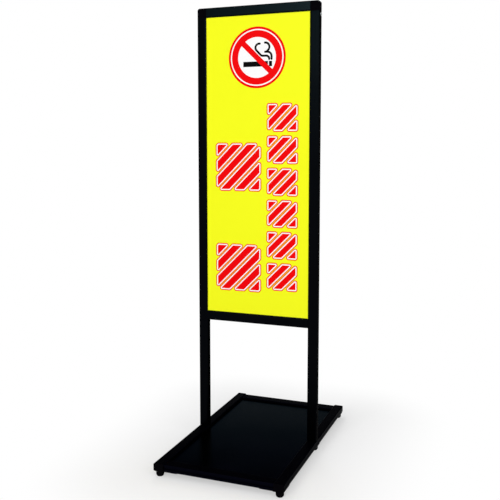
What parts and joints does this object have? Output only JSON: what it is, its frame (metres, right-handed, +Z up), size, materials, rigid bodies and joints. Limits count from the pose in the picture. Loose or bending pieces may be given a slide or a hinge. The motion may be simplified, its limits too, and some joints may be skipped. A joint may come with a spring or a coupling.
{
  "type": "freestanding no smoking sign",
  "caption": "Tall yellow sign panel in a black frame with a smoking ban symbol, held by posts on a low steel-weighted base frame with rubber feet.",
  "frame": {"origin": "on the ground, in the middle of the footprint", "axes": "+Z up; X along the face of the sign; the printed face looks towards -Y"},
  "size_m": [0.4664, 0.77, 1.6],
  "materials": {
    "frame_extrusion": "black coat, half gloss",
    "base_extrusion": "black coat, dull",
    "moulded_plastic": "fine grain, dull",
    "sign_board": "smooth board",
    "yellow_film": "smooth printed film",
    "coated_steel": "black coat, half gloss",
    "plain_aluminium": "sawn and drilled",
    "bright_steel": "bright, smooth",
    "plated_steel": "zinc plated",
    "red_ink": "smooth print on the film",
    "white_ink": "smooth print on the film",
    "black_ink": "smooth print on the film",
    "foot_rubber": "moulded rubber"
  },
  "bodies": {
    "root": {"anchor_plate_left": "coated_steel", "anchor_plate_right": "coated_steel", "back_rail": "base_extrusion", "base_plate": "coated_steel", "corner_block_left": "moulded_plastic", "corner_block_right": "moulded_plastic", "corner_plate_back_left": "coated_steel", "corner_plate_back_right": "coated_steel", "corner_plate_front_left": "coated_steel", "corner_plate_front_right": "coated_steel", "corner_plate_screws": "plated_steel", "end_cap_back_left": "moulded_plastic", "end_cap_back_right": "moulded_plastic", "end_cap_front_left": "moulded_plastic", "end_cap_front_right": "moulded_plastic", "face_film": "yellow_film", "foot_block_left": "plain_aluminium", "foot_block_right": "plain_aluminium", "foot_screws": "plated_steel", "frame_screws": "plated_steel", "front_rail": "base_extrusion", "lower_rail": "frame_extrusion", "plate_screws": "plated_steel", "post_bolts": "plated_steel", "post_left": "frame_extrusion", "post_right": "frame_extrusion", "rail_joiner_left": "plain_aluminium", "rail_joiner_right": "plain_aluminium", "rubber_foot_back_left": "foot_rubber", "rubber_foot_back_right": "foot_rubber", "rubber_foot_front_left": "foot_rubber", "rubber_foot_front_right": "foot_rubber", "rubber_foot_middle_left": "foot_rubber", "rubber_foot_middle_right": "foot_rubber", "side_rail_left": "base_extrusion", "side_rail_right": "base_extrusion", "side_screws": "bright_steel", "sign_panel": "sign_board", "top_rail": "frame_extrusion"}
  },
  "joints": []
}
